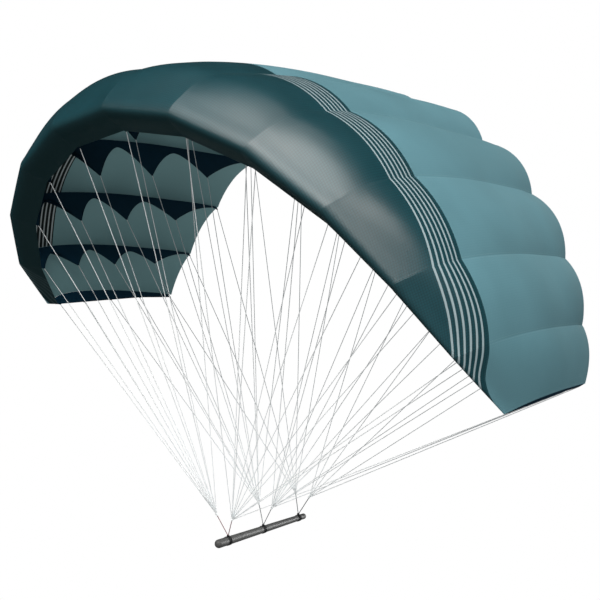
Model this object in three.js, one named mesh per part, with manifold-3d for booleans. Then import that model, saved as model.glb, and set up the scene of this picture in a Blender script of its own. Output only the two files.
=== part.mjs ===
// Parawing: a single-skin canopy in flight, arched over taut bridle lines that end on a short bar.
// Millimetres, +Z up, leading edge towards -Y, span along X, origin at the middle of the bar.
import * as THREE from 'three';
import * as BufferGeometryUtils from 'three/addons/utils/BufferGeometryUtils.js';
import Module from 'manifold-3d';

const wasm = await Module();
wasm.setup();

// Canopy plan and arch, measured along the trailing edge
const RIBS = 12;
const CELLS = RIBS - 1;
const ARCH_HALF_WIDTH = 943;
const ARCH_HEIGHT = 1080;
const ARCH_TOP = 1474;
const ARCH_END_ANGLE = THREE.MathUtils.degToRad(76.2);
const ARCH_SPREAD = 0.19; // ribs stand a little wider apart near the middle
const TRAILING_EDGE_Y = 545;
const TRAILING_EDGE_SWEEP = 122;
const RIB_SPLAY = 0.085; // sideways opening of the tip ribs towards the nose
const RIB_TILT = THREE.MathUtils.degToRad(27); // turn of the tip ribs towards the pull of their lines

// Reach of the nose in front of the trailing edge, and of the first line row behind the nose
const NOSE_REACH = 1287;
const NOSE_SWEEP = 632;
const NOSE_TIP_CUT = 43;
const CHIN_LENGTH = 80;
const TIP_CHIN_LENGTH = 44;
const TIP_CHIN_DEPTH = 14;
const BAND_REACH = 850; // front end of the pale canopy cloth
const BAND_TIP_CUT = 243;
const BAND_TIP_POWER = 4.6;
const TIP_BAND_PLACE = 0.93;
const OUTLINE_SAMPLES = 300;

// Section of a rib: share of the nose reach, rise above the trailing edge, share of the chin depth
const SECTION = [
  { along: 0, rise: 0, drop: 0 },
  { along: 0.1, rise: 22, drop: 0 },
  { along: 0.25, rise: 43, drop: 0 },
  { along: 0.45, rise: 67, drop: 0 },
  { along: 0.65, rise: 74, drop: 0 },
  { along: 0.8, rise: 64, drop: 0 },
  { along: 0.9, rise: 39, drop: 0 },
  { along: 0.965, rise: 0, drop: 0.17 },
  { along: 1, rise: 0, drop: 0.6 },
];
const RISE_SCALE = { middle: 0.79, gain: 0.69, loss: 0.88 };

// Line rows on the ribs' lower edge: share of the first row's reach, and depth from the middle outwards
const ROWS = [
  { name: 'a', share: 1, depth: 143, loss: 99, tipLoss: 49 },
  { name: 'b', share: 0.78, depth: 98, loss: 45, tipLoss: 53 },
  { name: 'c', share: 0.555, depth: 89, loss: 37, tipLoss: 43 },
  { name: 'd', share: 0.298, depth: 84, loss: 8, tipLoss: 68 },
];
const TAIL_TAB = { reach: 16, depth: 12 };
const TAB_HALF_WIDTH = 5;
const TAB_TAPER = 0.7;
const TAB_LENGTH = 3;
const ARCH_CROWN = 0.6; // place of each scallop's crown between its two points
const ARCH_FRONT_CURVE = 1.5;
const ARCH_FRONT_STEPS = 5;
const ARCH_REAR_CURVE = 1.8;
const ARCH_REAR_STEPS = 4;
const TAIL_CURVE = 1.5;
const TAIL_SHARES = [0.15, 0.3, 0.45, 0.6, 0.8];
const WEB_AT_CROWN = 30;
const WEB_AT_TAIL = 10;

// Cloth
const SKIN = 1.6;
const WEB = 1.2;
const BILLOW = 0.155; // bulge at the trailing edge for each unit of cell width
const BILLOW_LOSS = 0.065; // less towards the tips
const BILLOW_CROWN = { gain: 0.085, spanFade: 8, chordFade: 2.4 }; // more at the back of the middle cells
const BILLOW_FADE = 0.9; // how it flattens towards the nose
const NOSE_FLAT = { from: 0.64, to: 0.82, share: 0.85 }; // panels are drawn nearly straight around the nose
const TAIL_BOW = 0.015; // backward bow of the trailing edge for each unit of cell width
const TAIL_BOW_FADE = 6;
const SEAM_GAP = 0.3;
const BAND_GAP = 0.5;
const WEB_GAP = 0.6;
const CHORD_STEPS = 11;
const NOSE_STEPS = 10;
const SPAN_STEPS = 7;

// Bar, its wraps and the knots above them
const BAR_LENGTH = 475;
const BAR_FRONT_RADIUS = 14.5;
const BAR_REAR_RADIUS = 10;
const BAR_SIDES = 18;
const BAR_DOME_ANGLES = [0, 0.35, 0.7, 1.05, 1.4];
const BAR_SHARES = [0.05, 0.35, 0.65, 0.95];
const WRAP_WIDTH = 13;
const WRAP_THICKNESS = 1.1;
const WRAP_CHAMFER = { width: 1, depth: 0.4 };
const WRAP_KNOB = 4.6;
const WRAP_KNOB_SINK = 0.5;
const KNOT_RADIUS = 3.6;
const LINE_DIAMETER = 2.4;
const LEADER_DIAMETER = 2.8;
const LINE_SIDES = 8;
const LINE_CLEARANCE = 1.1;

// Three stations along the bar: wrap place, knot place, line rows gathered there
const STATIONS = [
  { name: 'front', wrapY: -180, knot: [34, -208, 88], rows: ['a', 'b'], colour: 0x8a6f72 },
  { name: 'centre', wrapY: 2, knot: [29, 4, 85], rows: ['c', 'd'], colour: 0x6f7478 },
  { name: 'rear', wrapY: 197, knot: [31, 211, 82], rows: ['tail'], colour: 0x4c5054 },
];

const parawing = new THREE.Group();

function addMesh(name, geometry, colour, roughness, metalness = 0) {
  const material = new THREE.MeshStandardMaterial({ color: colour, roughness, metalness });
  const mesh = new THREE.Mesh(geometry, material);
  mesh.name = name;
  parawing.add(mesh);
}

// Rib stations: place on the arch, section curve and line points

function ribFrame(u) {
  const angle = ARCH_END_ANGLE * u * (1 + ARCH_SPREAD * (1 - u * u));
  const origin = new THREE.Vector3(
    ARCH_HALF_WIDTH * Math.sin(angle),
    TRAILING_EDGE_Y - TRAILING_EDGE_SWEEP * u * u,
    ARCH_TOP - ARCH_HEIGHT * (1 - Math.cos(angle)),
  );
  const forward = new THREE.Vector3(RIB_SPLAY * u, -1, 0);
  const inward = new THREE.Vector3(-ARCH_HEIGHT * Math.sin(angle), 0, -ARCH_HALF_WIDTH * Math.cos(angle));
  inward.normalize().applyAxisAngle(new THREE.Vector3(0, 1, 0), -RIB_TILT * u ** 3);
  return { origin, forward, inward };
}

function makeRib(index) {
  const u = 1 - (2 * index) / (RIBS - 1);
  const isTip = index === 0 || index === RIBS - 1;
  const noseReach = NOSE_REACH - NOSE_SWEEP * u ** 2 - NOSE_TIP_CUT * u ** 4;
  const chinReach = noseReach - (isTip ? TIP_CHIN_LENGTH : CHIN_LENGTH);
  const rowDepth = ({ depth, loss, tipLoss }) => depth - loss * u ** 2 - tipLoss * u ** 4;
  const chinDepth = isTip ? TIP_CHIN_DEPTH : rowDepth(ROWS[0]);
  const riseScale = RISE_SCALE.middle + RISE_SCALE.gain * u ** 2 - RISE_SCALE.loss * u ** 4;
  const outline = SECTION.map(
    ({ along, rise, drop }) => new THREE.Vector3(along * noseReach, drop * chinDepth - rise * riseScale, 0),
  );
  outline.push(new THREE.Vector3(chinReach, chinDepth, 0));
  const curve = new THREE.CatmullRomCurve3(outline, false, 'centripetal');
  const points = {};
  for (const row of ROWS) {
    const depth = isTip ? chinDepth * row.share : rowDepth(row);
    points[row.name] = { reach: row.share * chinReach, depth };
  }
  points.a.reach -= 2 * TAB_HALF_WIDTH;
  points.tail = { ...TAIL_TAB };
  const bandReach = BAND_REACH - BAND_TIP_CUT * Math.abs(u) ** BAND_TIP_POWER;
  const band = isTip ? TIP_BAND_PLACE : placeAtReach(curve, bandReach);
  return { u, isTip, curve, points, band, frame: ribFrame(u) };
}

// Place along the section, 0 at the trailing edge and 1 at the chin, where its upper side has this reach
function placeAtReach(curve, reach) {
  const points = curve.getPoints(OUTLINE_SAMPLES);
  const next = points.findIndex((point) => point.x >= reach);
  const before = points[next - 1].x;
  return (next - 1 + (reach - before) / (points[next].x - before)) / OUTLINE_SAMPLES;
}

function placeOnRib(rib, reach, depth) {
  const { origin, forward, inward } = rib.frame;
  return origin.clone().addScaledVector(forward, reach).addScaledVector(inward, depth);
}

// Point of the section with its outward direction, in space and in the rib's own plane
function sectionPoint(rib, place) {
  const { x: reach, y: depth } = rib.curve.getPoint(place);
  const tangent = rib.curve.getTangent(place);
  const [outReach, outDepth] = [tangent.y, -tangent.x];
  const { forward, inward } = rib.frame;
  const out = forward.clone().multiplyScalar(outReach).addScaledVector(inward, outDepth);
  return { reach, depth, outReach, outDepth, out, point: placeOnRib(rib, reach, depth) };
}

const ribs = Array.from({ length: RIBS }, (_, index) => makeRib(index));

// Skin panels: a grid between two ribs, bulged between them, with the cloth's thickness outwards

function skinPoints(ribA, ribB, place, across) {
  const a = sectionPoint(ribA, place);
  const b = sectionPoint(ribB, place);
  const out = a.out.lerp(b.out, across).normalize();
  const width = a.point.distanceTo(b.point);
  const inset = SEAM_GAP / 2 / width;
  const outboard = ((ribA.u + ribB.u) / 2) ** 2;
  const sag = width * 4 * across * (1 - across);
  const { gain, spanFade, chordFade } = BILLOW_CROWN;
  const crown = gain * (1 - outboard) ** spanFade * (1 - place) ** chordFade;
  const flat = NOSE_FLAT.share * THREE.MathUtils.smoothstep(place, NOSE_FLAT.from, NOSE_FLAT.to);
  const billow = ((BILLOW - BILLOW_LOSS * outboard) * (1 - place) ** BILLOW_FADE + crown) * (1 - flat);
  const bow = TAIL_BOW * (1 - place) ** TAIL_BOW_FADE * sag;
  const inner = a.point.lerp(b.point, inset + across * (1 - 2 * inset)).addScaledVector(out, billow * sag);
  inner.addScaledVector(ribA.frame.forward, -bow);
  return [inner, inner.clone().addScaledVector(out, SKIN)];
}

// Half the seam's gap, as a step along the section at its band
function seamStep(rib) {
  const { curve, band } = rib;
  const probe = 0.001;
  return (BAND_GAP / 2) * (probe / curve.getPoint(band).distanceTo(curve.getPoint(band - probe)));
}

function panelGeometry(ribA, ribB, from, to, steps) {
  const layers = [[], []];
  for (let row = 0; row <= steps; row += 1) {
    for (let column = 0; column <= SPAN_STEPS; column += 1) {
      const across = column / SPAN_STEPS;
      const place = THREE.MathUtils.lerp(from(across), to(across), row / steps);
      skinPoints(ribA, ribB, place, across).forEach((point, layer) => layers[layer].push(point));
    }
  }
  return sheetGeometry(layers, steps, SPAN_STEPS);
}

// Closed sheet from two like grids of points: both faces and the rim around them
function sheetGeometry([inner, outer], rows, columns) {
  const stride = columns + 1;
  const count = inner.length;
  const index = [];
  const quad = (a, b, c, d) => index.push(a, b, c, a, c, d);
  for (let r = 0; r < rows; r += 1) {
    for (let c = 0; c < columns; c += 1) {
      const a = r * stride + c;
      quad(a, a + stride, a + stride + 1, a + 1);
      quad(count + a, count + a + 1, count + a + stride + 1, count + a + stride);
    }
  }
  for (let c = 0; c < columns; c += 1) {
    const far = rows * stride + c;
    quad(c, c + 1, count + c + 1, count + c);
    quad(far, count + far, count + far + 1, far + 1);
  }
  for (let r = 0; r < rows; r += 1) {
    const left = r * stride;
    const right = left + columns;
    quad(left, count + left, count + left + stride, left + stride);
    quad(right, right + stride, count + right + stride, count + right);
  }
  const geometry = new THREE.BufferGeometry();
  const coordinates = [...inner, ...outer].flatMap((point) => point.toArray());
  geometry.setAttribute('position', new THREE.Float32BufferAttribute(coordinates, 3));
  geometry.setIndex(index);
  geometry.computeVertexNormals();
  return geometry;
}

// Smooth line through the ribs' band places, where the pale cloth meets the dark cloth
const bandLine = new THREE.SplineCurve(ribs.map(({ u, band }) => new THREE.Vector2(u, band)));

for (let cell = 0; cell < CELLS; cell += 1) {
  const number = String(cell + 1).padStart(2, '0');
  const [ribA, ribB] = [ribs[cell], ribs[cell + 1]];
  const bandAt = (across) => bandLine.getPoint((cell + across) / CELLS).y;
  const gapAt = (across) => THREE.MathUtils.lerp(seamStep(ribA), seamStep(ribB), across);
  const canopy = panelGeometry(ribA, ribB, () => 0, (across) => bandAt(across) - gapAt(across), CHORD_STEPS);
  const nose = panelGeometry(ribA, ribB, (across) => bandAt(across) + gapAt(across), () => 1, NOSE_STEPS);
  addMesh(`canopy_cell_${number}`, canopy, 0x64919b, 0.75);
  addMesh(`leading_edge_${number}`, nose, 0x204c58, 0.6);
}

// Ribs: flat webs under the seams, scalloped along the lower edge into points that take the lines

function upperDepth(rib, reach) {
  return rib.curve.getPoint(placeAtReach(rib.curve, reach)).y;
}

// One scallop from a point back to the next, with its crown nearer the rear point
function scallop(rib, front, rear) {
  const crownReach = THREE.MathUtils.lerp(front.reach, rear.reach, ARCH_CROWN);
  const crownDepth = upperDepth(rib, crownReach) + WEB_AT_CROWN;
  const edge = [];
  for (let step = 1; step <= ARCH_FRONT_STEPS; step += 1) {
    const share = step / ARCH_FRONT_STEPS;
    edge.push([
      THREE.MathUtils.lerp(front.reach, crownReach, share),
      crownDepth + (front.depth - crownDepth) * (1 - share) ** ARCH_FRONT_CURVE,
    ]);
  }
  for (let step = 1; step < ARCH_REAR_STEPS; step += 1) {
    const share = step / ARCH_REAR_STEPS;
    edge.push([
      THREE.MathUtils.lerp(crownReach, rear.reach, share),
      crownDepth + (rear.depth - crownDepth) * share ** ARCH_REAR_CURVE,
    ]);
  }
  return edge;
}

function tab({ reach, depth }) {
  return [
    [reach + TAB_HALF_WIDTH, depth],
    [reach + TAB_HALF_WIDTH * TAB_TAPER, depth + TAB_LENGTH],
    [reach - TAB_HALF_WIDTH * TAB_TAPER, depth + TAB_LENGTH],
    [reach - TAB_HALF_WIDTH, depth],
  ];
}

function shifted(point, by) {
  return { reach: point.reach + by, depth: point.depth };
}

function lowerEdge(rib) {
  const { a, b, c, d, tail } = rib.points;
  const edge = [...tab(a)];
  const rows = [a, b, c, d];
  for (let row = 1; row < rows.length; row += 1) {
    const front = shifted(rows[row - 1], -TAB_HALF_WIDTH);
    const rear = shifted(rows[row], TAB_HALF_WIDTH);
    if (!rib.isTip) edge.push(...scallop(rib, front, rear));
    edge.push(...tab(rows[row]));
  }
  const from = shifted(d, -TAB_HALF_WIDTH);
  const webAtD = d.depth - upperDepth(rib, d.reach);
  for (const share of TAIL_SHARES) {
    if (rib.isTip) break;
    const reach = THREE.MathUtils.lerp(from.reach, tail.reach + TAB_HALF_WIDTH, share);
    const web = WEB_AT_TAIL + (webAtD - WEB_AT_TAIL) * (1 - share) ** TAIL_CURVE;
    edge.push([reach, upperDepth(rib, reach) + web]);
  }
  edge.push(...tab(tail));
  return edge;
}

// Places along the section at which the skin has its rows
function skinRows(rib) {
  const places = [];
  const seam = seamStep(rib);
  for (let step = 0; step <= CHORD_STEPS; step += 1) {
    places.push(((rib.band - seam) * step) / CHORD_STEPS);
  }
  for (let step = 1; step <= NOSE_STEPS; step += 1) {
    places.push(THREE.MathUtils.lerp(rib.band + seam, 1, step / NOSE_STEPS));
  }
  return places;
}

function webNormal(rib) {
  return rib.frame.forward.clone().cross(rib.frame.inward).normalize();
}

// How steeply the skin falls away inwards from a rib's seam, for each unit of distance from its web
function skinLean(index, place) {
  const { point, out } = sectionPoint(ribs[index], place);
  const normal = webNormal(ribs[index]);
  const neighbours = [ribs[index - 1], ribs[index + 1]].filter(Boolean);
  const leans = neighbours.map((rib) => {
    const way = sectionPoint(rib, place).point.sub(point);
    return -way.dot(out) / Math.abs(way.dot(normal));
  });
  return Math.max(0, ...leans);
}

// Upper edge of a web: just inside the skin, row by row
function upperEdge(index) {
  const rib = ribs[index];
  const edge = skinRows(rib).map((place) => {
    const { reach, depth, outReach, outDepth } = sectionPoint(rib, place);
    const gap = WEB_GAP + (WEB / 2) * skinLean(index, place);
    return [reach - gap * outReach, depth - gap * outDepth];
  });
  const start = (TAIL_TAB.reach - TAB_HALF_WIDTH) / edge[1][0];
  edge[0] = edge[0].map((value, axis) => THREE.MathUtils.lerp(value, edge[1][axis], start));
  return edge;
}

function ribGeometry(index) {
  const rib = ribs[index];
  const outline = upperEdge(index);
  outline.push(...lowerEdge(rib));
  const shape = new THREE.Shape(outline.map(([reach, depth]) => new THREE.Vector2(reach, depth)));
  const plate = new THREE.ExtrudeGeometry(shape, { depth: WEB, bevelEnabled: false });
  plate.translate(0, 0, -WEB / 2);
  const { origin, forward, inward } = rib.frame;
  const basis = new THREE.Matrix4().makeBasis(forward, inward, webNormal(rib));
  return plate.applyMatrix4(basis.setPosition(origin));
}

for (let index = 0; index < RIBS; index += 1) {
  addMesh(`rib_${String(index + 1).padStart(2, '0')}`, ribGeometry(index), 0x001826, 0.7);
}

// Bar: a slim round handle with domed ends, a little thicker at its front

function barRadius(y) {
  return THREE.MathUtils.lerp(BAR_FRONT_RADIUS, BAR_REAR_RADIUS, y / BAR_LENGTH + 0.5);
}

function barGeometry() {
  const half = BAR_LENGTH / 2;
  const profile = [];
  for (const angle of BAR_DOME_ANGLES) {
    const radius = BAR_FRONT_RADIUS * Math.sin(angle);
    profile.push(new THREE.Vector2(radius, -half + BAR_FRONT_RADIUS * (1 - Math.cos(angle))));
  }
  for (const share of BAR_SHARES) {
    const y = THREE.MathUtils.lerp(-half, half, share);
    profile.push(new THREE.Vector2(barRadius(y), y));
  }
  for (const angle of [...BAR_DOME_ANGLES].reverse()) {
    const radius = BAR_REAR_RADIUS * Math.sin(angle);
    profile.push(new THREE.Vector2(radius, half - BAR_REAR_RADIUS * (1 - Math.cos(angle))));
  }
  return new THREE.LatheGeometry(profile, BAR_SIDES);
}

addMesh('bar', barGeometry(), 0x3c3e40, 0.5);

// Closed solids to join or cut, and back

function toSolid(geometry) {
  const bare = geometry.clone();
  bare.deleteAttribute('normal');
  bare.deleteAttribute('uv');
  const merged = BufferGeometryUtils.mergeVertices(bare, 1e-4);
  return new wasm.Manifold(new wasm.Mesh({
    numProp: 3,
    vertProperties: new Float32Array(merged.attributes.position.array),
    triVerts: new Uint32Array(merged.index.array),
  }));
}

function toGeometry(solid) {
  const { vertProperties, triVerts } = solid.getMesh();
  const geometry = new THREE.BufferGeometry();
  geometry.setAttribute('position', new THREE.Float32BufferAttribute(vertProperties, 3));
  geometry.setIndex(new THREE.Uint32BufferAttribute(triVerts, 1));
  geometry.computeVertexNormals();
  return geometry;
}

// Wraps: a lashed band around the bar with the leaders' knob on top

function wrapTop(wrapY) {
  return barRadius(wrapY) + WRAP_THICKNESS + WRAP_KNOB * WRAP_KNOB_SINK;
}

function wrapGeometry(wrapY) {
  const bore = barRadius(wrapY - WRAP_WIDTH / 2) + SEAM_GAP;
  const rim = bore + WRAP_THICKNESS;
  const half = WRAP_WIDTH / 2;
  const { width, depth } = WRAP_CHAMFER;
  const profile = [
    [bore, -half],
    [rim - depth, -half],
    [rim, width - half],
    [rim, half - width],
    [rim - depth, half],
    [bore, half],
    [bore, -half],
  ];
  const ring = profile.map(([radius, y]) => new THREE.Vector2(radius, wrapY + y));
  const band = new THREE.LatheGeometry(ring, BAR_SIDES);
  const knob = new THREE.SphereGeometry(WRAP_KNOB, 10, 7);
  knob.translate(0, wrapY, wrapTop(wrapY));
  const hollow = new THREE.CylinderGeometry(bore, bore, 4 * WRAP_WIDTH, BAR_SIDES).translate(0, wrapY, 0);
  return toGeometry(toSolid(band).add(toSolid(knob).subtract(toSolid(hollow))));
}

// Lines: straight taut cords, each from a point to another

function lineGeometry(start, end, diameter) {
  const line = new THREE.CylinderGeometry(diameter / 2, diameter / 2, start.distanceTo(end), LINE_SIDES);
  const direction = end.clone().sub(start).normalize();
  line.applyQuaternion(new THREE.Quaternion().setFromUnitVectors(new THREE.Vector3(0, 1, 0), direction));
  const middle = start.clone().lerp(end, 0.5);
  return line.translate(middle.x, middle.y, middle.z);
}

function towards(from, to, distance) {
  return from.clone().addScaledVector(to.clone().sub(from).normalize(), distance);
}

function fanGeometry(knot, ends) {
  const ball = new THREE.IcosahedronGeometry(KNOT_RADIUS, 1).translate(knot.x, knot.y, knot.z);
  const lines = ends.map((end) => lineGeometry(knot, towards(end, knot, LINE_CLEARANCE), LINE_DIAMETER));
  return toGeometry([ball, ...lines].map(toSolid).reduce((sum, solid) => sum.add(solid)));
}

for (const station of STATIONS) {
  addMesh(`wrap_${station.name}`, wrapGeometry(station.wrapY), 0x101214, 0.8);
  const knob = new THREE.Vector3(0, station.wrapY, wrapTop(station.wrapY));
  for (const [side, sign] of [['right', 1], ['left', -1]]) {
    const [x, y, z] = station.knot;
    const knot = new THREE.Vector3(sign * x, y, z);
    const half = ribs.filter((rib) => rib.u * sign > 0);
    const ends = half.flatMap((rib) => station.rows.map((row) => {
      const { reach, depth } = rib.points[row];
      return placeOnRib(rib, reach, depth + TAB_LENGTH);
    }));
    addMesh(`lines_${station.name}_${side}`, fanGeometry(knot, ends), 0xc4c8c8, 0.6);
    const foot = towards(knob, knot, WRAP_KNOB + SEAM_GAP);
    const head = towards(knot, knob, KNOT_RADIUS + SEAM_GAP);
    addMesh(`leader_${station.name}_${side}`, lineGeometry(foot, head, LEADER_DIAMETER), station.colour, 0.7);
  }
}

export default parawing;
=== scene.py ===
from math import cos, floor, pi, radians, sin

import bpy
import numpy as np
from mathutils import Matrix, Vector


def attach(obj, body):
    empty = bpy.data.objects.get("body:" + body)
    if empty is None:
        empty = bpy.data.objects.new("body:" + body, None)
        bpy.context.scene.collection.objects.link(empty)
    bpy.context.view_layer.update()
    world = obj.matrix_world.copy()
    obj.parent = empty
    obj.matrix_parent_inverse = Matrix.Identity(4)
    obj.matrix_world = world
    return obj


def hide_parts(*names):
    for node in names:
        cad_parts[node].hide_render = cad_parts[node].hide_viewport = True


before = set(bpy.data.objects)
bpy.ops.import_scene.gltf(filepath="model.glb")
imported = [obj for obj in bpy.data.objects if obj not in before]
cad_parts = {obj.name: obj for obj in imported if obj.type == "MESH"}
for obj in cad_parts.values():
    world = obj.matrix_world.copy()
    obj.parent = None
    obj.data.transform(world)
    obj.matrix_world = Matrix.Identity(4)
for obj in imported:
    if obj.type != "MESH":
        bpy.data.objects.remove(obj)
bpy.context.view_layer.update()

# Canopy
# Light teal ripstop cloth from the trailing edge to the dark band, sewn from one panel for each cell. Wind
# holds it in an arch, where ribs under its seams give it a section and it billows between them. Its back edge
# is turned into a narrow stitched hem, and the seams draw it into small puckers.

# The arch over the span, from u = 1 at the right tip to u = -1 at the left one
RIBS = 12
CELLS = RIBS - 1
ARCH_HALF_WIDTH = 0.943
ARCH_HEIGHT = 1.080
ARCH_TOP = 1.474
ARCH_END_ANGLE = radians(76.2)
ARCH_SPREAD = 0.19
TRAILING_EDGE_Y = 0.545
TRAILING_EDGE_SWEEP = 0.122
RIB_SPLAY = 0.085
RIB_TILT = radians(27)

# The section, from the trailing edge over the top to the nose and back to the chin, where the lower lip ends
NOSE_REACH = 1.287
NOSE_SWEEP = 0.632
NOSE_TIP_CUT = 0.043
CHIN_LENGTH = 0.080
TIP_CHIN_LENGTH = 0.044
CHIN_DEPTH = 0.143
CHIN_DEPTH_LOSS = 0.099
CHIN_DEPTH_TIP_CUT = 0.049
TIP_CHIN_DEPTH = 0.014
BAND_REACH = 0.850
BAND_TIP_CUT = 0.243
BAND_TIP_POWER = 4.6
TIP_BAND_PLACE = 0.93
OUTLINE_SAMPLES = 300
SECTION_STEP = 1e-4

# Share of the nose's reach, rise in metres, share of the chin's depth
SECTION = (
    (0.0, 0.0, 0.0),
    (0.1, 0.022, 0.0),
    (0.25, 0.043, 0.0),
    (0.45, 0.067, 0.0),
    (0.65, 0.074, 0.0),
    (0.8, 0.064, 0.0),
    (0.9, 0.039, 0.0),
    (0.965, 0.0, 0.17),
    (1.0, 0.0, 0.6),
)
RISE_IN_MIDDLE = 0.79
RISE_GAIN = 0.69
RISE_LOSS = 0.88

# The billow between two ribs: shares of their cell's width, powers of the fades, and places along the section
BILLOW = 0.155
BILLOW_LOSS = 0.065
BILLOW_FADE = 0.9
CROWN_GAIN = 0.085
CROWN_SPAN_FADE = 8
CROWN_CHORD_FADE = 2.4
NOSE_FLAT_FROM = 0.64
NOSE_FLAT_TO = 0.82
NOSE_FLATNESS = 0.85
TAIL_BOW = 0.015
TAIL_BOW_FADE = 6


def lerp(start, end, share):
    return start + (end - start) * share


def smooth_step(values):
    values = np.clip(values, 0, 1)
    return values * values * (3 - 2 * values)


def curve_point(start, end, pull_start, pull_end, share):
    """A point of the curve that leaves its start and reaches its end with the given pulls."""
    square = 3 * (end - start) - 2 * pull_start - pull_end
    cube = 2 * (start - end) + pull_start + pull_end
    return start + share * (pull_start + share * (square + share * cube))


def spline_point(points, place):
    """A point of the smooth curve through the points, which takes each span between two of them evenly."""
    spans = len(points) - 1
    span = min(floor(place * spans), spans - 1)
    share = place * spans - span
    start, end = points[span], points[span + 1]
    before = points[span - 1] if span > 0 else 2 * start - end
    after = points[span + 2] if span + 2 <= spans else 2 * end - start
    step_0, step_1, step_2 = (np.linalg.norm(b - a) ** 0.5 for a, b in
                              ((before, start), (start, end), (end, after)))
    pull_start = (start - before) / step_0 - (end - before) / (step_0 + step_1) + (end - start) / step_1
    pull_end = (end - start) / step_1 - (after - start) / (step_1 + step_2) + (after - end) / step_2
    return curve_point(start, end, pull_start * step_1, pull_end * step_1, share)


class Rib:
    """One rib's station on the arch: its place in space, its directions and its section."""

    def __init__(self, index):
        u = 1 - 2 * index / (RIBS - 1)
        self.u = u
        self.number = index + 1
        self.is_tip = index in (0, RIBS - 1)
        self.place_in_space()
        nose = NOSE_REACH - NOSE_SWEEP * u ** 2 - NOSE_TIP_CUT * u ** 4
        inner_depth = CHIN_DEPTH - CHIN_DEPTH_LOSS * u ** 2 - CHIN_DEPTH_TIP_CUT * u ** 4
        self.chin_reach = nose - (TIP_CHIN_LENGTH if self.is_tip else CHIN_LENGTH)
        self.chin_depth = TIP_CHIN_DEPTH if self.is_tip else inner_depth
        rise_scale = RISE_IN_MIDDLE + RISE_GAIN * u ** 2 - RISE_LOSS * u ** 4
        self.outline = [np.array((along * nose, drop * self.chin_depth - rise * rise_scale))
                        for along, rise, drop in SECTION]
        self.outline.append(np.array((self.chin_reach, self.chin_depth)))
        self.samples = [self.section(step / OUTLINE_SAMPLES) for step in range(OUTLINE_SAMPLES + 1)]
        band_reach = BAND_REACH - BAND_TIP_CUT * abs(u) ** BAND_TIP_POWER
        self.band = TIP_BAND_PLACE if self.is_tip else self.place_at(band_reach)

    def place_in_space(self):
        u = self.u
        angle = ARCH_END_ANGLE * u * (1 + ARCH_SPREAD * (1 - u * u))
        self.origin = np.array((
            ARCH_HALF_WIDTH * sin(angle),
            TRAILING_EDGE_Y - TRAILING_EDGE_SWEEP * u * u,
            ARCH_TOP - ARCH_HEIGHT * (1 - cos(angle)),
        ))
        self.forward = np.array((RIB_SPLAY * u, -1.0, 0.0))
        inward = Vector((-ARCH_HEIGHT * sin(angle), 0, -ARCH_HALF_WIDTH * cos(angle))).normalized()
        self.inward = np.array(Matrix.Rotation(-RIB_TILT * u ** 3, 3, "Y") @ inward)
        across = np.cross(self.forward, self.inward)
        self.across = across / np.linalg.norm(across)

    def section(self, place):
        """Reach and depth at a place along the section, which runs from 0 to 1."""
        return spline_point(self.outline, place)

    def section_way(self, place):
        """Direction along the section at a place, as reach and depth."""
        ahead = self.section(min(place + SECTION_STEP, 1))
        behind = self.section(max(place - SECTION_STEP, 0))
        return (ahead - behind) / np.linalg.norm(ahead - behind)

    def place_at(self, reach):
        """Place along the section where its upper side has this reach."""
        after = next(i for i, point in enumerate(self.samples) if point[0] >= reach)
        low, high = self.samples[after - 1][0], self.samples[after][0]
        return (after - 1 + (reach - low) / (high - low)) / OUTLINE_SAMPLES

    def at(self, reach, depth):
        return self.origin + self.forward * reach + self.inward * depth

    def skin(self, place):
        """Point of the section in space, and the direction out of the canopy there."""
        way = self.section_way(place)
        out = self.forward * way[1] - self.inward * way[0]
        return self.at(*self.section(place)), out


ribs = [Rib(index) for index in range(RIBS)]


def band_place(cell, across):
    """Place of the seam between the pale and the dark cloth, which runs smoothly through the ribs."""
    before, start, end, after = (ribs[min(max(cell + step, 0), RIBS - 1)].band for step in (-1, 0, 1, 2))
    return curve_point(start, end, (end - before) / 2, (after - start) / 2, across)


def skin_point(cell, place, across):
    """Point of the billowed skin in a cell, the direction out of it, and the width of the cell there."""
    right, left = ribs[cell], ribs[cell + 1]
    (point_a, out_a), (point_b, out_b) = right.skin(place), left.skin(place)
    out = lerp(out_a, out_b, across)
    out = out / np.linalg.norm(out)
    width = np.linalg.norm(point_b - point_a)
    outboard = ((right.u + left.u) / 2) ** 2
    sag = width * 4 * across * (1 - across)
    crown = CROWN_GAIN * (1 - outboard) ** CROWN_SPAN_FADE * (1 - place) ** CROWN_CHORD_FADE
    flat = NOSE_FLATNESS * smooth_step((place - NOSE_FLAT_FROM) / (NOSE_FLAT_TO - NOSE_FLAT_FROM))
    billow = ((BILLOW - BILLOW_LOSS * outboard) * (1 - place) ** BILLOW_FADE + crown) * (1 - flat)
    bow = TAIL_BOW * (1 - place) ** TAIL_BOW_FADE
    return lerp(point_a, point_b, across) + out * billow * sag - right.forward * bow * sag, out, width


CLOTH = 0.0008
CANOPY_ROWS = 64
CELL_COLUMNS = 16
HEM_WIDTH = 0.014
HEM_EXTRA = 0.0006
HEM_STEP = 0.002
PUCKER = 0.0016
PUCKER_PITCH = 0.034
PUCKER_START = 0.006
PUCKER_FADE = 0.022
PUCKER_DRIFT = 2
PUCKER_DRIFT_RATE = 9
PUCKER_CALM_PLACE = 0.5
PUCKER_CALM = 0.6


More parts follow.
